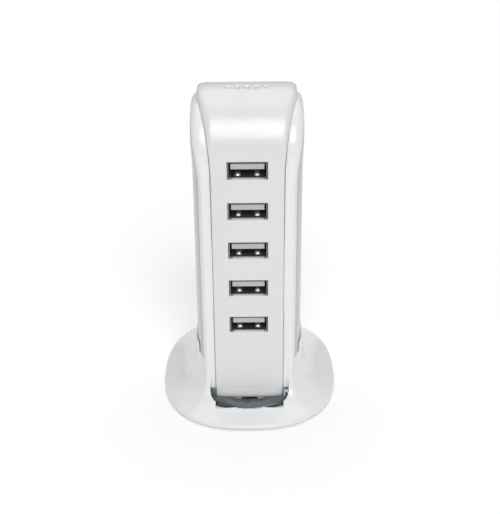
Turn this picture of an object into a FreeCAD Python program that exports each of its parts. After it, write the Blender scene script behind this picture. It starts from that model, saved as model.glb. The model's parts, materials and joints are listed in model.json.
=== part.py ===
"""Five-port USB desk charging tower, in millimetres.

Row frame: +Z up, origin on the table under the middle of the base, the ports face -Y.
The outside is a flared base that carries two front rails, a hollow tower behind them, and a strip
that climbs the front, holds five sockets and hooks over the top. The inside is a socket board, a
mains supply board with its parts, a two-pin mains inlet and a small lamp behind a smoked lens.
"""

import FreeCAD
import Part
import math
import os

os.makedirs("parts", exist_ok=True)
V = FreeCAD.Vector

# ---------------------------------------------------------------- driving dimensions
HEIGHT = 116.4           # table to the top of the strip
BASE_HALF_X = 32.8       # half of the base's width
BASE_HALF_Y = 39.7       # half of the base's length
BASE_POWER = 2.5         # superellipse power of the base's outline
STRIP_Y = -26.0          # face of the strip
RAIL_Y = -24.9           # face of the two rails
TOWER_HALF_X = 18.85     # half of the tower's width
TOWER_REAR_Y = 24.8      # rear of the tower at its foot
TOWER_TOP_Z = 113.4      # top of the shoulders
CREST_Y = -5.7           # the tower is highest here
STRIP_HALF_X = 12.2      # half of the strip's width up the front
STRIP_FLARE_X = 4.6      # what each side of the strip gains over the top
COLLAR_Z = 24.0          # top of the collar that the tower drops into
WALL = 2.0               # moulded wall
GAP = 0.1                # clearance between moulded parts
PORT_COUNT = 5
PORT_PITCH = 14.2
PORT_TOP_Z = 92.2        # middle of the highest port
PORT_HALF_X = 6.65       # half of a port's window in the strip
PORT_HALF_Z = 2.95
SOCKET_FRONT_Y = STRIP_Y + 0.25
SOCKET_DEPTH = 14.0
RIM_Z = 2.0              # lowest line of the flared wall
RIM_BOTTOM_Z = 0.6       # underside of the base's turned-in edge
COLLAR_PROUD = 0.8       # the collar is this much wider than the tower it holds
RAIL_PROUD = 0.15        # the rails stand this far out of the flare
PLATE_DEPTH = 2.4        # thickness of the front plate with the rails
PLATE_END = 134.0        # how far over the top the rails run, degrees
STRIP_THICK = 2.4
STRIP_LOW_Z = 4.2        # lower end of the strip
STRIP_END = 132.0        # how far over the top the strip runs, degrees
TRAY_Z = 2.4             # underside of the tray behind the lens
LENS_LOW_Z = 3.3
PLATE_TOP_Z = 2.3        # upper face of the bottom plate
PLATE_LOW_Z = 0.9
USB_BOARD_Y = -11.5      # front face of the socket board
MAIN_Y = -4.0            # front face of the supply board
CORE_X = -2.8            # middle of the transformer core
PIP_ANGLE = 78.0         # where the row of touch pips sits over the top, degrees
PIP_PITCH = 3.15
INLET_Z = 36.0           # middle of the mains inlet
INLET_PITCH = 8.6        # between the two pins
CONTACT_X = (-3.5, -1.0, 1.0, 3.5)
HEADER_X = (-5.0, -3.0, -1.0, 1.0, 3.0, 5.0)

PORTS = [PORT_TOP_Z - PORT_PITCH * k for k in range(PORT_COUNT)]
RAIL_ARC = CREST_Y - RAIL_Y             # radius of the rails over the top
STRIP_ARC = CREST_Y - STRIP_Y
RAIL_ARC_Z = TOWER_TOP_Z - RAIL_ARC
STRIP_ARC_Z = HEIGHT - STRIP_ARC
BACK_Z = 28.0                            # the sail-shaped back is upright below this
BACK_HALF_Y = TOWER_REAR_Y - CREST_Y
TOWER_LOW_Z = COLLAR_Z - 4.0             # the tower stands this deep in the collar


# ---------------------------------------------------------------- small helpers
def box(x0, x1, y0, y1, z0, z1):
    """Box between two corners."""
    return Part.makeBox(x1 - x0, y1 - y0, z1 - z0, V(x0, y0, z0))


def rod(x, y, z, radius, length, direction=(0, 0, 1)):
    """Cylinder from a point along a direction."""
    return Part.makeCylinder(radius, length, V(x, y, z), V(*direction))


def mirrored(shape):
    """The same shape on the other side of the middle plane."""
    return shape.mirror(V(0, 0, 0), V(1, 0, 0))


def both(shape):
    """A shape and its mirror image, as one list."""
    return [shape, mirrored(shape)]


def fused(shapes):
    """One solid from shapes that touch or overlap."""
    shapes = list(shapes)
    return shapes[0].multiFuse(shapes[1:]).removeSplitter() if len(shapes) > 1 else shapes[0]


def cut(shape, tools):
    """The shape with every tool taken away."""
    for tool in tools:
        shape = shape.cut(tool)
    return shape


def save(name, shapes):
    """Writes one node, after testing that each of its solids is closed and sound."""
    solids = []
    for shape in shapes if isinstance(shapes, (list, tuple)) else [shapes]:
        solids.extend(shape.Solids)
    for solid in solids:
        if not solid.isValid() or solid.Volume <= 0:
            raise ValueError(f"{name}: unsound solid, volume {solid.Volume:.3f}")
    whole = solids[0] if len(solids) == 1 else Part.makeCompound(solids)
    whole.exportStep(f"parts/{name}.step")
    print(f"{name}: {len(solids)} solid(s), {sum(s.Volume for s in solids):.1f} mm3")
    return whole


def curve(points, closed=False):
    """Smooth curve through points."""
    spline = Part.BSplineCurve()
    spline.interpolate(Points=[V(*p) for p in points], PeriodicFlag=closed)
    return spline.toShape()


def patch(rows):
    """Smooth surface through a grid of points."""
    surface = Part.BSplineSurface()
    surface.interpolate([[V(*p) for p in row] for row in rows])
    return surface.toShape()


def solid_from(faces):
    """Closed solid from faces that share their edges."""
    shell = Part.makeShell(faces)
    shell.sewShape()
    solid = Part.Solid(shell)
    if solid.Volume < 0:
        solid.reverse()
    return solid


def smooth(a, b, x):
    """0 before a, 1 after b, with a smooth step between."""
    t = min(1.0, max(0.0, (x - a) / (b - a)))
    return t * t * (3 - 2 * t)


def evenly(points, count, span=None):
    """The same path with count points at equal distances along its first span coordinates."""
    along = [0.0]
    for p, q in zip(points, points[1:]):
        along.append(along[-1] + math.dist(p[:span], q[:span]))
    result, k = [], 0
    for i in range(count):
        target = along[-1] * i / (count - 1)
        while k < len(points) - 2 and along[k + 1] < target:
            k += 1
        t = (target - along[k]) / (along[k + 1] - along[k])
        result.append(tuple(a + (b - a) * t for a, b in zip(points[k], points[k + 1])))
    return result


def side_edge(face, start, end):
    """The boundary edge of a face that joins two points."""
    ends = (V(*start), V(*end))

    def miss(edge):
        a, b = edge.Vertexes[0].Point, edge.Vertexes[-1].Point
        return min(a.distanceToPoint(ends[0]) + b.distanceToPoint(ends[1]),
                   a.distanceToPoint(ends[1]) + b.distanceToPoint(ends[0]))

    return min(face.Edges, key=miss)


def solid_over(rows):
    """Solid under a grid of points for the right-hand side, its mirror image and a flat band between.

    Each row runs across the shape from the band's edge to the shape's side, and both the sides and the
    two ends are closed flat.
    """
    first, last = rows[0], rows[-1]
    faces, bands, caps, ends = [], [], [], [[], []]
    for sign in (1, -1):
        flip = [[(sign * x, y, z) for x, y, z in row] for row in rows]
        face = patch(flip)
        faces.append(face)
        bands.append(side_edge(face, flip[0][0], flip[-1][0]))
        rim = side_edge(face, flip[0][-1], flip[-1][-1])
        chord = Part.makeLine(V(*flip[0][-1]), V(*flip[-1][-1]))
        caps.append(Part.Face(Part.Wire([rim, chord])))
        for k, row in enumerate((flip[0], flip[-1])):
            ends[k].append(side_edge(face, row[0], row[-1]))
        ends[0].append(chord)
    band = Part.makeRuledSurface(*bands)
    faces += [band, *caps]
    for k, row in enumerate((first, last)):
        x, y, z = row[0]
        ends[k].append(side_edge(band, (x, y, z), (-x, y, z)))
    faces.append(Part.Face(Part.Wire(Part.__sortEdges__(ends[0] + ends[1]))))
    return solid_from(faces)


# ---------------------------------------------------------------- side profile of the tower
def profile(face_y, arc_z, top_z, low_z, back_y, end=180.0, count=44):
    """Even stations up the front, over the crest and down the back, as (y, z, normal y, normal z, turn).

    turn is -1 to 0 up the front face, 0 to 90 over the front arc and 90 to 180 down the back.
    """
    radius = CREST_Y - face_y
    half_y, half_z = back_y - CREST_Y, top_z - BACK_Z
    path = [(face_y, low_z, -1.0, 0.0, -1.0)]
    for k in range(61):
        a = math.radians(1.5 * k)
        path.append((CREST_Y - radius * math.cos(a), arc_z + radius * math.sin(a),
                     -math.cos(a), math.sin(a), 1.5 * k))
    for k in range(1, 181):
        turn = 90.0 + 0.5 * k
        if turn > end:
            break
        a = math.radians(180.0 - turn)
        ny, nz = math.cos(a) / half_y, math.sin(a) / half_z
        size = math.hypot(ny, nz)
        path.append((CREST_Y + half_y * math.cos(a), BACK_Z + half_z * math.sin(a), ny / size, nz / size, turn))
    if end >= 180.0:
        path.append((back_y, low_z, 1.0, 0.0, 180.0))
    return evenly(path, count, 2)


def tower_edge(z, turn):
    """Where the tower's face turns into its side: crease x, radius of the turn, depth to full width."""
    lift = smooth(RAIL_ARC_Z - 8, RAIL_ARC_Z + 17, z) if turn <= 90 else 1.0
    back = smooth(95, 150, turn)
    crease = 15.6 + (TOWER_HALF_X - 15.6) * lift
    radius = 1.0 + 2.8 * lift + 4.2 * back
    depth = 13.5 - 8.5 * lift + 4.5 * back
    return crease, radius, depth


def bend(p, q, r, steps):
    """Points on the curve from p to r that is pulled towards q."""
    points = []
    for k in range(steps + 1):
        t = k / steps
        points.append(tuple((1 - t) ** 2 * a + 2 * t * (1 - t) * b + t * t * c for a, b, c in zip(p, q, r)))
    return points


def corner_line(crease, radius, depth, half):
    """The turn from the face into the side, as (x, depth) points."""
    run = math.hypot(half - crease, depth)
    knee = (min(crease + (half - crease) * radius / run * 1.6, half), depth * radius / run)
    line = bend((crease - radius, 0), (crease, 0), knee, 12)
    return line + bend(knee, (half, knee[1] + (depth - knee[1]) * 0.45), (half, depth), 16)[1:]


def tower_solid(inset=0.0, low_z=TOWER_LOW_Z):
    """The tower's outside, or the same shape drawn in by inset on every side."""
    half = TOWER_HALF_X - inset
    rows = []
    for y, z, ny, nz, turn in profile(RAIL_Y, RAIL_ARC_Z, TOWER_TOP_Z, low_z, TOWER_REAR_Y):
        crease, radius, depth = tower_edge(z, turn)
        line = corner_line(min(crease - inset, half), radius, depth, half)
        rows.append([(x, y - ny * (inset + d), z - nz * (inset + d)) for x, d in evenly(line, 18)])
    return solid_over(rows)



def band(face_y, arc_z, top_z, low_z, back_y, outer, inner, end=180.0, half_x=40.0):
    """Wide slab that follows a side profile, between two depths below it."""
    stations = profile(face_y, arc_z, top_z, low_z, back_y, end, 60)
    rims = []
    for depth in (outer, inner):
        rims.append([(-half_x, y - ny * depth, z - nz * depth) for y, z, ny, nz, _ in stations])
    ends = [Part.makeLine(V(*rims[0][k]), V(*rims[1][k])) for k in (0, -1)]
    wire = Part.Wire([curve(rims[0]), ends[1], curve(rims[1]), ends[0]])
    return Part.Face(wire).extrude(V(2 * half_x, 0, 0))


# ---------------------------------------------------------------- base outline
def footprint(inset=0.0, margin=0.0, count=64):
    """Right-hand half of the tower's section near the base, from the front middle to the rear middle."""
    half, front, rear = TOWER_HALF_X - inset, RAIL_Y + inset, TOWER_REAR_Y - inset
    line = [(0.0, front)]
    line += [(x, front + d) for x, d in corner_line(15.6 - inset, 1.0, 13.5, half)]
    line += [(x, rear - d) for x, d in reversed(corner_line(half, 8.0, 9.5, half))]
    line.append((0.0, rear))
    points = []
    for x, y in evenly(line, count):
        out = margin * smooth(RAIL_Y, -14.0, y)
        points.append((x + out * x / TOWER_HALF_X, y + out * max(0.0, (y - 15.3) / 9.5)))
    return points


def rim_point(x, y, inset=0.0):
    """Point of the base's rounded outline that lies in the same direction as (x, y)."""
    angle = math.atan2(y, x)
    power = BASE_POWER
    reach = (abs(math.cos(angle)) / (BASE_HALF_X - inset)) ** power
    reach += (abs(math.sin(angle)) / (BASE_HALF_Y - inset)) ** power
    radius = reach ** (-1 / power)
    return radius * math.cos(angle), radius * math.sin(angle)


def half_and_half(wire_points, z):
    """Flat face between a right-hand outline and its mirror image."""
    right = curve([(x, y, z) for x, y in wire_points])
    left = curve([(-x, y, z) for x, y in wire_points])
    return Part.Face(Part.Wire([right, left]))


def flare_solid(drop=0.0, inset=0.0):
    """The base's sweep from its rim up to the collar, or the same shape lowered and drawn in."""
    rows = []
    for x, y in footprint(inset, COLLAR_PROUD):
        rx, ry = rim_point(x, y, inset)
        power = 3.5 + 1.5 * smooth(-12.0, RAIL_Y, y)
        sink = RAIL_PROUD * (1 - smooth(RAIL_Y, -14.0, y))
        x, y = x - sink * x / TOWER_HALF_X, y + sink
        row = []
        for k in range(13):
            spread = (1 - k / 12) ** power
            row.append((x + (rx - x) * spread, y + (ry - y) * spread, RIM_Z + (COLLAR_Z - RIM_Z) * k / 12 - drop))
        rows.append(row)
    rows[0] = [(0.0, y, z) for _, y, z in rows[0]]
    rows[-1] = [(0.0, y, z) for _, y, z in rows[-1]]
    right = patch(rows)
    left = patch([[(-x, y, z) for x, y, z in row] for row in rows])
    faces = [right, left]
    for k in (0, -1):
        ends = [side_edge(face, (0.0, *rows[0][k][1:]), (0.0, *rows[-1][k][1:])) for face in (right, left)]
        tops = [min(face.Edges, key=lambda e: abs(e.BoundBox.ZMax - rows[0][k][2])
                    + abs(e.BoundBox.ZMin - rows[0][k][2])) for face in (right, left)]
        faces.append(Part.Face(Part.Wire(tops if tops else ends)))
    body = solid_from(faces)
    foot = faces[2].extrude(V(0, 0, RIM_BOTTOM_Z - RIM_Z - (0 if drop == 0 else 1)))
    return body, foot


# ---------------------------------------------------------------- front strip
def strip_width(z, turn):
    """Half width of the strip: parallel up the front, wider over the top, rounded in at the hook's end."""
    climb = z if turn <= 0 else STRIP_ARC_Z + STRIP_ARC * math.radians(min(turn, 90.0))
    lift = min(1.0, max(0.0, (climb - 88.0) / 33.0))
    left = max(0.0, 1 - (STRIP_END - turn) / 9.0)
    return STRIP_HALF_X + STRIP_FLARE_X * lift ** 1.8 - 5.0 * (1 - math.sqrt(1 - min(1.0, left) ** 2))


def strip_solid(grow=0.0, outer=0.0, inner=None):
    """The strip's sheet: rounded long edges, flat ends; grow and outer make room for it in the plate."""
    inner = STRIP_THICK if inner is None else inner
    rows, backs = [], []
    for y, z, ny, nz, turn in profile(STRIP_Y, STRIP_ARC_Z, HEIGHT, STRIP_LOW_Z - grow,
                                      TOWER_REAR_Y + 1.1, STRIP_END + 2 * grow, 70):
        half = strip_width(z, min(turn, STRIP_END)) + grow
        lift = smooth(STRIP_ARC_Z - 4, HEIGHT, z) if turn <= 90 else 1.0
        across, down = 0.9 + 2.6 * lift, 0.9 + 1.1 * lift
        line = bend((half - across, outer), (half, outer), (half, outer + down), 16)
        rows.append([(x, y - ny * d, z - nz * d) for x, d in evenly(line, 7)])
        backs.append((half, y - ny * inner, z - nz * inner))
    creases, faces, ends, bottoms = [], [], [[], []], []
    for sign in (1, -1):
        flip = [[(sign * x, y, z) for x, y, z in row] for row in rows]
        back = [(sign * x, y, z) for x, y, z in backs]
        face = patch(flip)
        creases.append(side_edge(face, flip[0][0], flip[-1][0]))
        bottoms.append(curve(back))
        side = Part.makeRuledSurface(side_edge(face, flip[0][-1], flip[-1][-1]), bottoms[-1])
        faces += [face, side]
        for k in (0, -1):
            ends[k] += [side_edge(face, flip[k][0], flip[k][-1]), side_edge(side, flip[k][-1], back[k])]
    for pair, points in ((creases, [row[0] for row in rows]), (bottoms, backs)):
        sheet = Part.makeRuledSurface(*pair)
        faces.append(sheet)
        for k in (0, -1):
            x, y, z = points[k]
            ends[k].append(side_edge(sheet, (x, y, z), (-x, y, z)))
    faces += [Part.Face(Part.Wire(Part.__sortEdges__(edges))) for edges in ends]
    return solid_from(faces)


# ---------------------------------------------------------------- main mouldings
print("mouldings")
tower = tower_solid()
tower_inside = tower_solid(WALL)
plate_slab = band(RAIL_Y, RAIL_ARC_Z, TOWER_TOP_Z, TOWER_LOW_Z - 8, TOWER_REAR_Y, -3, PLATE_DEPTH, PLATE_END)
plate_room = band(RAIL_Y, RAIL_ARC_Z, TOWER_TOP_Z, TOWER_LOW_Z - 8, TOWER_REAR_Y, -3, PLATE_DEPTH + GAP, PLATE_END + 0.3)
plate = tower_solid(0.0, TOWER_LOW_Z - 10).common(plate_slab)
flare, foot = flare_solid()
outside = fused([flare, foot])
rim_edges = [e for e in outside.Edges if e.BoundBox.ZMax < RIM_Z + 0.01 and e.BoundBox.ZLength < 0.01]
try:
    rounded = outside.makeFillet(0.6, rim_edges)
    if rounded.isValid() and abs(rounded.Volume - outside.Volume) < 1000:
        outside = rounded
except Exception as problem:
    print("rim left sharp", problem)
hollow, below = flare_solid(1.7, 1.7)

lens_plan = [(-14.1, -24.6), (-14.1, -26.6), (-13.0, -28.6), (-8.5, -30.9), (0.0, -32.5),
             (8.5, -30.9), (13.0, -28.6), (14.1, -26.6), (14.1, -24.6)]


def lens_prism(grow, low, high, back=-26.3):
    """Upright block with the light window's outline."""
    points = [(x * (1 + grow / 14.1), y - grow * (1 if y < -27 else 0), low) for x, y in lens_plan]
    bow = curve(points[1:-1])
    a, b = V(points[1][0], back, low), V(points[-2][0], back, low)
    wire = Part.Wire([Part.makeLine(a, V(*points[1])), bow, Part.makeLine(V(*points[-2]), b), Part.makeLine(b, a)])
    return Part.Face(wire).extrude(V(0, 0, high - low))


half_hole = half_and_half(footprint(2.2), -5).extrude(V(0, 0, 60))
seat_hole = half_and_half(footprint(-GAP), TOWER_LOW_Z - GAP).extrude(V(0, 0, 30))
behind_plate = box(-60, 60, RAIL_Y + PLATE_DEPTH, 60, -10, 60)
base = cut(outside, [hollow, below])
base = fused([base, lens_prism(1.2, TRAY_Z, 24.0, -23.0).common(outside),
              box(-15.2, 15.2, RAIL_Y + 0.4, RAIL_Y + PLATE_DEPTH, TRAY_Z, 13).common(outside)])
base = cut(base, [half_hole.common(behind_plate), seat_hole.common(behind_plate)])
posts = [rod(x, y, TRAY_Z, 3.0, 17.0) for x in (-11.6, 11.6) for y in (-20.2,)]
board_posts = [rod(x, RAIL_Y + PLATE_DEPTH - 0.6, z, 2.2, USB_BOARD_Y - RAIL_Y - PLATE_DEPTH + 0.6, (0, 1, 0))
               for x in (-10.2, 10.2) for z in (42.5, 85.1)]
base = fused([base, plate, *posts, *board_posts])
seat = half_and_half([rim_point(x, y, 3.4) for x, y in footprint()], 0).extrude(V(0, 0, PLATE_TOP_Z + GAP))
windows = [box(-7.1, 7.1, -40, RAIL_Y + PLATE_DEPTH + 1, z - 3.75, z + 3.3) for z in PORTS]
base = cut(base, [strip_solid(GAP, -6, STRIP_THICK + 1.5 * GAP), lens_prism(GAP, LENS_LOW_Z - 0.05, 40, -24.8), seat,
                  box(-3.1, 3.1, -30.1, -19, TRAY_Z - 1, LENS_LOW_Z + 0.7), *windows,
                  *[rod(x, -20.2, 0, 1.3, 14) for x in (-11.6, 11.6)],
                  *[rod(x, USB_BOARD_Y + 0.1, z, 1.1, 9, (0, -1, 0)) for x in (-10.2, 10.2) for z in (42.5, 85.1)]])
base = max(base.Solids, key=lambda b: b.Volume)
if base.BoundBox.ZMax < TOWER_TOP_Z - 1:
    raise ValueError("base_frame: the front plate is missing")
save("base_frame", base)

rib_x = TOWER_HALF_X - WALL + 0.2
guides = []
for low, high in ((-5.3, -4.1), (-2.3, -1.1)):
    guides += both(box(13.9, rib_x, low, high, 26.0, 92.0))
wall_posts = []
for x in (-13.0, 13.0):
    wall_posts.append(rod(x, 13.0, TRAY_Z, 3.0, 36.0))
    wall_posts.append(box(min(x, x * 1.3), max(x, x * 1.3), 12.2, 13.8, TOWER_LOW_Z + 0.3, 38.0).common(tower))


def figure_eight(radius, low_y, high_y):
    """The outline of two joined circles, as a block along Y at the inlet."""
    length = high_y - low_y
    lobes = [rod(x, low_y, INLET_Z, radius, length, (0, 1, 0)) for x in (-INLET_PITCH / 2, INLET_PITCH / 2)]
    waist = radius * 0.86
    return fused(lobes + [box(-INLET_PITCH / 2, INLET_PITCH / 2, low_y, high_y, INLET_Z - waist, INLET_Z + waist)])


rear = tower.cut(tower_inside)
rear = rear.cut(plate_room)
rear = fused([rear, *[g.common(tower) for g in guides], *wall_posts])
rear = cut(rear, [figure_eight(5.5, 15.0, 40.0),
                  *[rod(x, 13.0, 0, 1.3, 14) for x in (-13.0, 13.0)]])
rear = max(rear.Solids, key=lambda b: b.Volume)
save("rear_shell", rear)

# ---------------------------------------------------------------- strip, pips, lens
strip = strip_solid()
strip = strip.cut(fused([box(-PORT_HALF_X - 0.1, PORT_HALF_X + 0.1, -40, -20, z - 3.05, z + 3.05) for z in PORTS]))
strip = strip.cut(box(-10.0, 10.0, STRIP_Y - 1, STRIP_Y + 0.35, 8.4, 8.8))
roll = box(-20, 20, STRIP_Y - 1, STRIP_Y + 2.0, STRIP_LOW_Z - 1, STRIP_LOW_Z + 2.0)
strip = strip.cut(roll.cut(rod(-21, STRIP_Y + 2.0, STRIP_LOW_Z + 2.0, 2.0, 42, (1, 0, 0))))
corner = box(STRIP_HALF_X - 1.8, STRIP_HALF_X + 1, -30, -20, STRIP_LOW_Z - 1, STRIP_LOW_Z + 1.8)
corner = corner.cut(rod(STRIP_HALF_X - 1.8, -31, STRIP_LOW_Z + 1.8, 1.8, 12, (0, 1, 0)))
strip = cut(strip, both(corner))
pips = []
for k in range(5):
    a = math.radians(PIP_ANGLE)
    radius = (0.55, 0.62, 0.75, 0.62, 0.55)[k]
    reach = STRIP_ARC - 0.2
    pips.append(rod((k - 2) * PIP_PITCH, CREST_Y - reach * math.cos(a), STRIP_ARC_Z + reach * math.sin(a),
                    radius, 0.5, (0, -math.cos(a), math.sin(a))))
strip = cut(strip, pips)
save("front_strip", strip)
save("top_pips", pips)

lowered, _ = flare_solid(0.25)
scoop = rod(0, -40, LENS_LOW_Z + 1.4 + 45.0, 45.0, 30, (0, 1, 0)).common(box(-12.45, 12.45, -40, -20, 0, 50))
lens = lens_prism(0.0, LENS_LOW_Z, 8.6, -25.0).common(lowered)
lens = cut(lens, [scoop, box(-12.5, 12.5, -26.3, -20, 0, 50)])
lens = max(lens.Solids, key=lambda b: b.Volume)
tail = box(-3.0, 3.0, -30.0, -19.6, TRAY_Z + 0.2, LENS_LOW_Z + 0.6)
save("led_window", fused([lens, tail]))

# ---------------------------------------------------------------- underside
under = half_and_half([rim_point(x, y, 3.5) for x, y in footprint()], PLATE_LOW_Z)
under = under.extrude(V(0, 0, PLATE_TOP_Z - PLATE_LOW_Z))
screw_spots = [(-11.6, -20.2), (11.6, -20.2), (-13.0, 13.0), (13.0, 13.0)]
foot_spots = [(x, y) for x in (-18.5, 18.5) for y in (-23.2, 23.2)]
under = cut(under, [rod(x, y, 0, 1.4, 5) for x, y in screw_spots]
            + [rod(x, y, 0, 4.6, PLATE_LOW_Z + 0.5) for x, y in foot_spots])
vents = [box(-8, 8, y, y + 1.6, 0, 5) for y in (-8.0, -4.4, -0.8, 2.8)]
under = cut(under, vents)
save("base_plate", under)
feet = []
for x, y in foot_spots:
    pad = rod(x, y, 0.0, 4.5, PLATE_LOW_Z + 0.5)
    feet.append(pad.makeFillet(0.3, [e for e in pad.Edges if e.BoundBox.ZMax < 0.01]))
save("rubber_feet", feet)


def screw(x, y, z, direction, head, shank, length):
    """Pan-head screw whose head sits at (x, y, z) and whose shank runs along direction."""
    d = V(*direction)
    back = V(x, y, z) - d * 0.65
    body = fused([Part.makeCylinder(head, 0.65, back, d), Part.makeCylinder(shank, length, V(x, y, z) - d * 0.1, d)])
    across = V(d.y, d.z, d.x)
    along = d.cross(across)
    for u, v in ((across, along), (along, across)):
        slot = Part.makeBox(2.2, 0.5, 0.35)
        placement = FreeCAD.Matrix(u.x, v.x, d.x, 0, u.y, v.y, d.y, 0, u.z, v.z, d.z, 0, 0, 0, 0, 1)
        slot.translate(V(-1.1, -0.25, -0.01))
        slot = slot.transformGeometry(placement)
        slot.translate(back)
        body = body.cut(slot)
    return body


save("base_screws", [screw(x, y, PLATE_LOW_Z - 0.01, (0, 0, 1), 2.4, 1.25, 9.0) for x, y in screw_spots])

# ---------------------------------------------------------------- five sockets
FRONT = SOCKET_FRONT_Y
REAR = FRONT + SOCKET_DEPTH
SHELL_X, SHELL_Z, SHEET = 6.55, 2.86, 0.3
ROOT_Y = FRONT + 8.5
SHELL_FRONT = STRIP_Y + 0.8
tails = []
for number, z in enumerate(PORTS, 1):
    shell = box(-SHELL_X, SHELL_X, SHELL_FRONT, REAR, z - SHELL_Z, z + SHELL_Z)
    shell = shell.makeFillet(0.5, [e for e in shell.Edges if e.BoundBox.YLength > 10])
    hole = box(-SHELL_X + SHEET, SHELL_X - SHEET, FRONT - 1, REAR + 1, z - SHELL_Z + SHEET, z + SHELL_Z - SHEET)
    shell = shell.cut(hole)
    windows = [box(s * 3.2 - 1.1, s * 3.2 + 1.1, FRONT + 2.2, ROOT_Y, z - 3, z - 2.5) for s in (-1, 1)]
    legs = both(box(SHELL_X - SHEET, SHELL_X, REAR - 0.2, REAR + 2.6, z - 0.9, z + 0.9))
    save(f"usb_shell_{number}", fused([cut(shell, windows), *legs]))

    block = box(-6.15, 6.15, REAR - 2.4, REAR, z - 2.46, z + 2.46)
    tongue = box(-5.55, 5.55, FRONT + 0.9, REAR - 2.3, z + 0.2, z + 2.04)
    slots = [box(x - 0.6, x + 0.6, FRONT + 1.4, ROOT_Y + 0.2, z - 1, z + 0.95) for x in CONTACT_X]
    tail_slots = [box(x - 0.5, x + 0.5, ROOT_Y + 0.1, REAR + 1, z + 0.1, z + 0.4) for x in CONTACT_X]
    save(f"usb_insulator_{number}", cut(fused([block, tongue]), slots + tail_slots))

    leaves = []
    for x in CONTACT_X:
        leaf = box(x - 0.5, x + 0.5, FRONT + 1.7, ROOT_Y, z + 0.2, z + 0.4)
        bump = rod(x - 0.5, FRONT + 3.3, z + 0.95, 1.35, 1.0, (1, 0, 0))
        bump = bump.common(box(x - 1, x + 1, FRONT + 1.5, FRONT + 5.5, z - 1, z + 0.25))
        leaves.append(fused([leaf, bump]))
        tails.append(box(x - 0.45, x + 0.45, ROOT_Y + 0.15, REAR + 2.4, z + 0.13, z + 0.37))
    save(f"usb_contacts_{number}", leaves)

    fingers = []
    for s in (-1, 1):
        finger = box(s * 3.2 - 0.95, s * 3.2 + 0.95, FRONT + 2.4, ROOT_Y - 0.1, z - SHELL_Z, z - SHELL_Z + SHEET)
        bump = Part.makeSphere(1.1, V(s * 3.2, FRONT + 3.8, z - SHELL_Z - 0.05))
        bump = bump.common(box(s * 3.2 - 0.9, s * 3.2 + 0.9, FRONT + 2.5, FRONT + 5.2, z - SHELL_Z + 0.1, z))
        fingers.append(fused([finger, bump]))
    save(f"usb_springs_{number}", fingers)
save("usb_contact_tails", tails)

lips = []
for z in PORTS:
    outline = [(SHELL_FRONT, z - 2.56), (STRIP_Y + 0.05, z - 2.93), (STRIP_Y + 0.05, z - 3.02), (SHELL_FRONT, z - 2.86)]
    edge = Part.makePolygon([V(-5.25, y, lz) for y, lz in outline + outline[:1]])
    lips.append(Part.Face(edge).extrude(V(10.5, 0, 0)))
save("usb_lips", lips)

# ---------------------------------------------------------------- socket board
usb_board = box(-13.0, 13.0, USB_BOARD_Y, USB_BOARD_Y + 1.6, 29.0, 99.0)
holes = [rod(x, USB_BOARD_Y - 1, z, 1.3, 4, (0, 1, 0)) for x in (-10.2, 10.2) for z in (42.5, 85.1)]
for z in PORTS:
    holes += both(box(6.1, 6.7, -12, -9, z - 1.1, z + 1.1))
    holes += [box(x - 0.55, x + 0.55, -12, -9, z + 0.05, z + 0.45) for x in CONTACT_X]
holes += [box(x - 0.35, x + 0.35, -12, -9, 30.7, 31.4) for x in HEADER_X]
save("usb_board", cut(usb_board, holes))
save("board_screws", [screw(x, USB_BOARD_Y + 1.61, z, (0, -1, 0), 2.1, 1.0, 8.0)
                      for x in (-10.2, 10.2) for z in (42.5, 85.1)])
save("board_header", cut(box(-7.6, 7.6, USB_BOARD_Y + 1.61, MAIN_Y - 0.01, 29.8, 32.3),
                         [box(x - 0.35, x + 0.35, -12, -2, 30.7, 31.4) for x in HEADER_X]))
save("header_pins", [box(x - 0.3, x + 0.3, USB_BOARD_Y - 0.6, MAIN_Y + 2.4, 30.75, 31.35) for x in HEADER_X])
save("insulation_sheet", box(-14.0, 14.0, -7.0, -6.8, 34.0, 95.0))

# ---------------------------------------------------------------- supply board
main = box(-15.0, 15.0, MAIN_Y, MAIN_Y + 1.6, 26.0, 94.0)
main = cut(main, [box(x - 0.35, x + 0.35, -12, 2, 30.7, 31.4) for x in HEADER_X])
save("main_board", main)
TOP = MAIN_Y + 1.61     # parts stand on this face


def standing(x, z, radius, length, bead=0.0):
    """Can that stands on the supply board."""
    can = rod(x, TOP, z, radius, length, (0, 1, 0))
    can = can.makeFillet(min(0.6, radius / 4), [can.Edges[0]] if can.Edges[0].BoundBox.YMin > TOP + 1
                         else [e for e in can.Edges if e.BoundBox.YMin > TOP + length - 0.1][:1])
    if bead:
        groove = rod(x, TOP + bead, z, radius + 1, 0.6, (0, 1, 0)).cut(
            rod(x, TOP + bead - 0.1, z, radius - 0.3, 0.8, (0, 1, 0)))
        can = can.cut(groove)
    return can


core = box(CORE_X - 9.0, CORE_X + 9.0, TOP + 2.0, TOP + 14.0, 62.0, 80.0)
core = cut(core, [box(CORE_X + s * 4.7 - 1.9, CORE_X + s * 4.7 + 1.9, -2, 20, 64.6, 77.4) for s in (-1, 1)])
save("transformer_core", core)
winding = box(CORE_X - 6.4, CORE_X + 6.4, TOP, TOP + 16.0, 64.8, 77.2)
winding = winding.makeFillet(1.5, [e for e in winding.Edges if abs(e.BoundBox.ZLength - 12.4) < 0.01])
winding = winding.cut(box(CORE_X - 2.9, CORE_X + 2.9, TOP + 1.9, TOP + 14.1, 60, 82))
save("transformer_winding", winding)
save("bulk_capacitors", [standing(-8.7, 54.6, 5.0, 15.0, 1.6), standing(1.7, 54.6, 5.0, 15.0, 1.6)])
save("output_capacitors", [standing(x, 87.2, 3.9, 9.0, 1.4) for x in (-9.5, -0.8, 7.9)])
choke = Part.makeTorus(4.1, 2.0, V(10.2, TOP + 6.2, 53.5), V(1, 0, 0)).common(box(0, 30, TOP, 30, 0, 99))
save("emi_choke", choke)
x_cap = box(-13.7, -8.7, TOP, TOP + 9.0, 32.5, 46.0)
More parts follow.
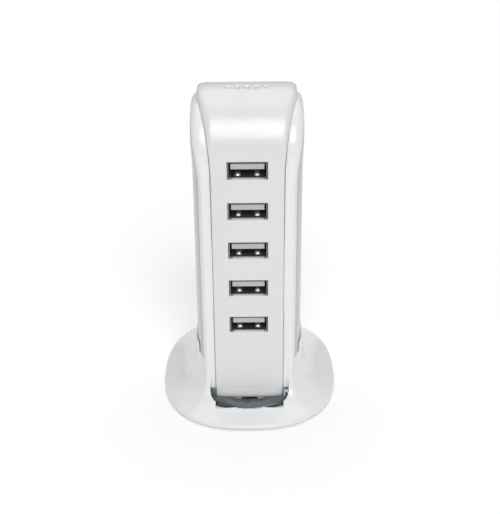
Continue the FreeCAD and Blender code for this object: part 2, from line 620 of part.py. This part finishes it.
save("x_capacitor", x_cap.makeFillet(0.6, [e for e in x_cap.Edges if e.BoundBox.YMax > TOP + 1]))
fuse = rod(11.4, TOP + 2.4, 31.0, 2.3, 9.0, (0, 0, 1))
save("fuse", fuse)
save("y_capacitor", rod(11.2, TOP + 4.2, 44.4, 3.4, 2.4, (1, 0, 0)).common(box(0, 30, TOP, 30, 0, 99)))
save("bridge_rectifier", box(-3.5, 3.5, TOP, TOP + 5.6, 43.0, 45.6))
sink = fused([box(12.4, 13.4, TOP, TOP + 11.0, 62.0, 82.0)]
             + [box(13.3, 14.8, TOP + 1.6 + 2.2 * k, TOP + 2.4 + 2.2 * k, 62.0, 82.0) for k in range(4)])
save("heat_sink", sink)
save("power_switch", fused([box(8.4, 12.3, TOP + 2.0, TOP + 9.0, 67.0, 77.0),
                            box(11.3, 12.3, TOP + 2.0, TOP + 10.8, 67.0, 77.0),
                            *[box(9.8, 10.3, TOP, TOP + 2.1, z, z + 0.8) for z in (69.0, 71.6, 74.2)]]))

# ---------------------------------------------------------------- mains inlet
inlet = fused([figure_eight(5.4, 9.0, 24.3), box(-10.5, 10.5, 19.6, 21.0, INLET_Z - 6.5, INLET_Z + 6.5)])
inlet = inlet.cut(figure_eight(4.15, 11.0, 30.0))
inlet = cut(inlet, [rod(x, 0, INLET_Z, 1.25, 30, (0, 1, 0)) for x in (-INLET_PITCH / 2, INLET_PITCH / 2)])
inlet = inlet.common(tower)
save("inlet_body", inlet)
pins = []
for x in (-INLET_PITCH / 2, INLET_PITCH / 2):
    pin = rod(x, 6.6, INLET_Z, 1.2, 15.6, (0, 1, 0))
    pins.append(pin)
save("inlet_pins", pins)


def wire(points, radius):
    """Round wire along straight runs joined by tangent arcs."""
    points = [V(*p) for p in points]
    runs = [q - p for p, q in zip(points, points[1:])]
    edges, start = [], points[0]
    for k, corner in enumerate(points[1:-1]):
        before, after = runs[k], runs[k + 1]
        turn = before.getAngle(after)
        reach = 0.45 * min(before.Length, after.Length)
        first = corner - before * (reach / before.Length)
        last = corner + after * (reach / after.Length)
        bisector = (after * (1 / after.Length) - before * (1 / before.Length)).normalize()
        bow = reach / math.tan(turn / 2)
        middle = corner + bisector * (bow / math.cos(turn / 2) - bow)
        edges += [Part.makeLine(start, first), Part.Arc(first, middle, last).toShape()]
        start = last
    edges.append(Part.makeLine(start, points[-1]))
    ring = Part.Wire(Part.makeCircle(radius, points[0], runs[0]))
    return Part.Wire(edges).makePipeShell([ring], True, True)


save("inlet_wires", [wire([(s * INLET_PITCH / 2, 6.5, INLET_Z), (s * INLET_PITCH / 2, 4.0, INLET_Z),
                           (s * 6.0, 2.0, 28.5), (s * 6.0, TOP, 28.5)], 0.75) for s in (-1, 1)])

# ---------------------------------------------------------------- lamp behind the lens
save("led_board", box(-6.0, 6.0, -18.6, -17.4, TRAY_Z + 0.1, 11.0))
save("led", box(-1.6, 1.6, -19.45, -18.61, TRAY_Z + 0.4, TRAY_Z + 1.6))
save("led_wires", [wire([(x, -17.35, 9.0), (x, -14.5, 9.0), (x, -14.5, 24.0), (x, -10.7, 26.6),
                         (x, -10.7, 28.9)], 0.5) for x in (-3.2, -1.6)])
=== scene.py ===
import json
import math

import bmesh
import bpy
from mathutils import Matrix, Vector


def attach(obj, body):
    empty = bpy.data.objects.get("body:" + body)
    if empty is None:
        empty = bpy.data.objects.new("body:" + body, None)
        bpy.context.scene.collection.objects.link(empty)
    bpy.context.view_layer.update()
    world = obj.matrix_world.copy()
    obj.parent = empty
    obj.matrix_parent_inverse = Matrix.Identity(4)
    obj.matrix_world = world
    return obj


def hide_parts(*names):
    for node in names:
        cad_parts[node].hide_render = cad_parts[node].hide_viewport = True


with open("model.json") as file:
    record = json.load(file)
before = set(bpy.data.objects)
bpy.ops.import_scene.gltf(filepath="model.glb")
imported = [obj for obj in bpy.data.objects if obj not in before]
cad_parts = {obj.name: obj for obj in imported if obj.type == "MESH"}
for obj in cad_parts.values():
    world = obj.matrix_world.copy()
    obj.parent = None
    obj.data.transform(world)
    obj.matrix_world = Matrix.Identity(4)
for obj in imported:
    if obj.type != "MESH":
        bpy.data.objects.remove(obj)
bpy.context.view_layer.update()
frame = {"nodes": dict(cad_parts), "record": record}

MM = 0.001
FOCAL_LENGTH = 61.6                   # mm, on a sensor 36 mm wide
SENSOR_WIDTH = 36.0
CAMERA_PLACE = (0.94, -298.0, 185.0)  # mm, in front of the sockets and above them
CAMERA_YAW = -0.07                    # degrees
CAMERA_PITCH = 24.43                  # degrees, looking down
CAMERA_ROLL = -0.5
WELD = 0.004 * MM                     # points nearer than this are one point
SMOOTH_BELOW = 32.0                   # degrees: gentler edges are shaded over
BASE_VOXEL = 0.3 * MM                 # mesh size of the flared base
FLOOR_SIZE = 8.0
FLOOR_DROP = 0.05 * MM                # keeps the floor from sharing a plane with the feet

nodes = frame["nodes"]
scene = bpy.context.scene


# ---------------------------------------------------------------- camera
def add_camera():
    """Camera in front of the sockets, looking slightly down."""
    data = bpy.data.cameras.new("camera")
    data.lens = FOCAL_LENGTH
    data.sensor_width = SENSOR_WIDTH
    data.clip_start = 0.01
    data.clip_end = 20.0
    camera = bpy.data.objects.new("camera", data)
    scene.collection.objects.link(camera)
    yaw, pitch, roll = (math.radians(angle) for angle in (CAMERA_YAW, CAMERA_PITCH, CAMERA_ROLL))
    forward = Vector((math.sin(yaw) * math.cos(pitch), math.cos(yaw) * math.cos(pitch), -math.sin(pitch)))
    right = Vector((math.cos(yaw), -math.sin(yaw), 0.0))
    up = right.cross(forward)
    side = right * math.cos(roll) + up * math.sin(roll)
    above = up * math.cos(roll) - right * math.sin(roll)
    turn = Matrix((side, above, -forward)).transposed().to_4x4()
    camera.matrix_world = Matrix.Translation(Vector(CAMERA_PLACE) * MM) @ turn
    scene.camera = camera


add_camera()


# ---------------------------------------------------------------- materials
def material(name, color, rough, metal=0.0, tint=0.04, tint_scale=60.0, grain=0.0, grain_scale=900.0,
             smear=0.05, coat=0.0, stretch=(1, 1, 1), edge=0.0, **sockets):
    """Procedural surface: patchy tint, uneven roughness, fine grain in the bump and lighter edges."""
    mat = bpy.data.materials.new(name)
    mat.use_nodes = True
    tree = mat.node_tree
    tree.nodes.clear()
    link = tree.links.new

    def node(kind, **values):
        made = tree.nodes.new(kind)
        for key, value in values.items():
            setattr(made, key, value)
        return made

    out = node("ShaderNodeOutputMaterial")
    shader = node("ShaderNodeBsdfPrincipled")
    link(shader.outputs["BSDF"], out.inputs["Surface"])
    shader.inputs["Metallic"].default_value = metal
    shader.inputs["Coat Weight"].default_value = coat
    shader.inputs["Coat Roughness"].default_value = 0.08
    for key, value in sockets.items():
        shader.inputs[key.replace("_", " ")].default_value = value

    place = node("ShaderNodeTexCoord")
    mapping = node("ShaderNodeMapping")
    mapping.inputs["Scale"].default_value = stretch
    link(place.outputs["Object"], mapping.inputs["Vector"])

    patches = node("ShaderNodeTexNoise")
    patches.inputs["Scale"].default_value = tint_scale
    patches.inputs["Detail"].default_value = 4.0
    link(mapping.outputs["Vector"], patches.inputs["Vector"])
    ramp = node("ShaderNodeValToRGB")
    ramp.color_ramp.elements[0].position = 0.3
    ramp.color_ramp.elements[1].position = 0.7
    ramp.color_ramp.elements[0].color = (*[max(0.0, c * (1 - tint)) for c in color], 1)
    ramp.color_ramp.elements[1].color = (*[min(1.0, c * (1 + tint)) for c in color], 1)
    link(patches.outputs["Fac"], ramp.inputs["Fac"])
    shade = ramp.outputs["Color"]
    if edge:
        # colour made lighter on sharp convex edges, read from the mesh's pointiness
        edge_shape = node("ShaderNodeNewGeometry")
        band = node("ShaderNodeValToRGB")
        band.color_ramp.elements[0].position = 0.5
        band.color_ramp.elements[1].position = 0.62
        link(edge_shape.outputs["Pointiness"], band.inputs["Fac"])
        mix = node("ShaderNodeMixRGB", blend_type="MIX")
        link(band.outputs["Color"], mix.inputs["Fac"])
        link(shade, mix.inputs["Color1"])
        mix.inputs["Color2"].default_value = (*[min(1.0, c * (1 + edge)) for c in color], 1)
        shade = mix.outputs["Color"]
    link(shade, shader.inputs["Base Color"])

    uneven = node("ShaderNodeTexNoise")
    uneven.inputs["Scale"].default_value = tint_scale * 2.3
    uneven.inputs["Detail"].default_value = 3.0
    link(mapping.outputs["Vector"], uneven.inputs["Vector"])
    spread = node("ShaderNodeMapRange")
    spread.inputs["To Min"].default_value = max(0.02, rough - smear)
    spread.inputs["To Max"].default_value = min(1.0, rough + smear)
    link(uneven.outputs["Fac"], spread.inputs["Value"])
    link(spread.outputs["Result"], shader.inputs["Roughness"])

    if grain:
        fine = node("ShaderNodeTexNoise")
        fine.inputs["Scale"].default_value = grain_scale
        fine.inputs["Detail"].default_value = 2.0
        link(mapping.outputs["Vector"], fine.inputs["Vector"])
        bump = node("ShaderNodeBump")
        bump.inputs["Strength"].default_value = grain
        bump.inputs["Distance"].default_value = 0.0002
        link(fine.outputs["Fac"], bump.inputs["Height"])
        link(bump.outputs["Normal"], shader.inputs["Normal"])
    return mat


MATERIALS = {
    "white_abs": material("white_abs", (0.76, 0.765, 0.765), 0.26, tint=0.012, grain=0.05, coat=0.25),
    # white_shell: painted shade. The tower's white shell is coloured grey (0.47) instead of the base's
    # white, standing in for the shade on the tower's sides, so it reads grey from every side.
    "white_shell": material("white_shell", (0.47, 0.475, 0.485), 0.28, tint=0.02, grain=0.06, coat=0.2,
                            stretch=(1, 1, 0.25)),
    "satin_strip": material("satin_strip", (0.68, 0.69, 0.695), 0.36, metal=0.05, tint=0.015, grain=0.08,
                            coat=0.15, grain_scale=2600.0),
    "white_pips": material("white_pips", (0.88, 0.88, 0.88), 0.3, tint=0.01, grain=0.04),
    "smoked_lens": material("smoked_lens", (0.045, 0.06, 0.075), 0.1, tint=0.15, coat=0.8, smear=0.03,
                            grain=0.02),
    "white_under": material("white_under", (0.72, 0.72, 0.71), 0.5, tint=0.02, grain=0.3,
                            grain_scale=1500.0),
    "rubber": material("rubber", (0.03, 0.03, 0.03), 0.75, tint=0.1, grain=0.4, grain_scale=1800.0),
    "steel": material("steel", (0.55, 0.55, 0.54), 0.3, metal=1.0, tint=0.06, grain=0.1, edge=0.3),
    "gold": material("gold", (0.83, 0.60, 0.24), 0.22, metal=1.0, tint=0.05, grain=0.05),
    "board_green": material("board_green", (0.02, 0.14, 0.06), 0.35, tint=0.2, tint_scale=220.0, grain=0.2),
    "board_tan": material("board_tan", (0.45, 0.33, 0.15), 0.5, tint=0.15, grain=0.3, stretch=(1, 1, 6)),
    "black_plastic": material("black_plastic", (0.02, 0.02, 0.02), 0.45, tint=0.1, grain=0.3),
    "sheet_film": material("sheet_film", (0.75, 0.75, 0.68), 0.35, tint=0.03, grain=0.1),
    "ferrite": material("ferrite", (0.05, 0.05, 0.052), 0.6, tint=0.2, grain=0.5, grain_scale=2500.0),
    "winding_tape": material("winding_tape", (0.75, 0.52, 0.05), 0.35, tint=0.08, grain=0.2,
                             stretch=(1, 1, 12)),
    "cap_sleeve": material("cap_sleeve", (0.02, 0.025, 0.05), 0.25, tint=0.1, grain=0.05),
    "copper_wire": material("copper_wire", (0.60, 0.24, 0.08), 0.3, metal=0.8, tint=0.15, grain=0.6,
                            stretch=(1, 8, 1)),
    "yellow_case": material("yellow_case", (0.75, 0.55, 0.06), 0.35, tint=0.03, grain=0.1),
    "fuse_glass": material("fuse_glass", (0.60, 0.55, 0.45), 0.15, tint=0.08, grain=0.02),
    "blue_disc": material("blue_disc", (0.03, 0.13, 0.42), 0.35, tint=0.08, grain=0.2),
    "aluminium": material("aluminium", (0.68, 0.69, 0.70), 0.4, metal=1.0, tint=0.04, grain=0.2,
                          stretch=(1, 1, 9)),
    "inlet_black": material("inlet_black", (0.025, 0.025, 0.026), 0.42, tint=0.1, grain=0.35, edge=0.5),
    "nickel": material("nickel", (0.90, 0.89, 0.87), 0.42, metal=0.75, tint=0.04, grain=0.05),
    "wire_black": material("wire_black", (0.025, 0.025, 0.025), 0.5, tint=0.1, grain=0.1),
    "led_clear": material("led_clear", (0.85, 0.88, 0.95), 0.12, tint=0.03, grain=0.02),
    "wire_red": material("wire_red", (0.45, 0.02, 0.02), 0.45, tint=0.08, grain=0.1),
    # nickel_shell: painted shade. The socket shells' nickel is darkened to 0.24 grey, standing in for the
    # shadow in the sockets' mouths.
    "nickel_shell": material("nickel_shell", (0.24, 0.24, 0.24), 0.42, metal=0.9, tint=0.06, grain=0.08,
                             edge=0.2),
    "tongue_plastic": material("tongue_plastic", (0.44, 0.445, 0.455), 0.4, tint=0.04, grain=0.15),
}

SLOT = {entry["node"]: entry["material_slot"] for entry in frame["record"]["subparts"]}
for name, slot in SLOT.items():
    nodes[name].data.materials.clear()
    nodes[name].data.materials.append(MATERIALS[slot])


# ---------------------------------------------------------------- finished mouldings
def finished(name, voxel=0.0):
    """Stands in for a CAD moulding: the same shape, welded, with even shading over its curved faces."""
    mesh = bpy.data.meshes.new(name + "_skin")
    shape = bmesh.new()
    shape.from_mesh(nodes[name].data)
    bmesh.ops.remove_doubles(shape, verts=shape.verts, dist=WELD)
    bmesh.ops.dissolve_degenerate(shape, edges=shape.edges, dist=WELD)
    bmesh.ops.recalc_face_normals(shape, faces=shape.faces)
    shape.to_mesh(mesh)
    shape.free()
    mesh.shade_smooth()
    piece = bpy.data.objects.new(name + "_skin", mesh)
    scene.collection.objects.link(piece)
    bpy.context.view_layer.objects.active = piece
    piece.select_set(True)
    if voxel:
        remesh = piece.modifiers.new("even mesh", "REMESH")
        remesh.mode = "VOXEL"
        remesh.voxel_size = voxel
        remesh.use_smooth_shade = True
    bpy.ops.object.shade_smooth_by_angle(angle=math.radians(SMOOTH_BELOW))
    weighted = piece.modifiers.new("even", "WEIGHTED_NORMAL")
    weighted.keep_sharp = True
    piece.select_set(False)
    mesh.materials.clear()
    mesh.materials.append(MATERIALS[SLOT[name]])
    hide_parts(name)
    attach(piece, "body")


finished("base_frame", voxel=BASE_VOXEL)
for moulding in ("rear_shell", "front_strip", "led_window", "base_plate"):
    finished(moulding)


# ---------------------------------------------------------------- floor, light
def add_floor():
    """Plain white floor that runs to the horizon."""
    bpy.ops.mesh.primitive_plane_add(size=FLOOR_SIZE, location=(0, 0, -FLOOR_DROP))
    floor = bpy.context.object
    floor.name = "floor"
    mat = bpy.data.materials.new("floor_white")
    mat.use_nodes = True
    shader = mat.node_tree.nodes["Principled BSDF"]
    shader.inputs["Base Color"].default_value = (0.95, 0.95, 0.95, 1)
    shader.inputs["Roughness"].default_value = 0.9
    shader.inputs["Emission Color"].default_value = (1, 1, 1, 1)
    shader.inputs["Emission Strength"].default_value = 0.06
    floor.data.materials.append(mat)


def add_sun(name, azimuth, elevation, strength, spread):
    """Broad studio light from far away. Azimuth 0 is the side the ports face; angles in degrees."""
    data = bpy.data.lights.new(name, "SUN")
    data.energy = strength
    data.angle = math.radians(spread)
    light = bpy.data.objects.new(name, data)
    a, e = math.radians(azimuth), math.radians(elevation)
    source = Vector((math.sin(a) * math.cos(e), -math.cos(a) * math.cos(e), math.sin(e)))
    light.rotation_euler = source.to_track_quat("Z", "Y").to_euler()
    scene.collection.objects.link(light)


add_floor()
add_sun("key", azimuth=6, elevation=40, strength=1.75, spread=35)
add_sun("top", azimuth=180, elevation=72, strength=1.15, spread=60)

world = bpy.data.worlds.new("studio")
world.use_nodes = True
world.node_tree.nodes["Background"].inputs["Color"].default_value = (1, 1, 1, 1)
world.node_tree.nodes["Background"].inputs["Strength"].default_value = 0.30
scene.world = world
scene.view_settings.view_transform = "Standard"
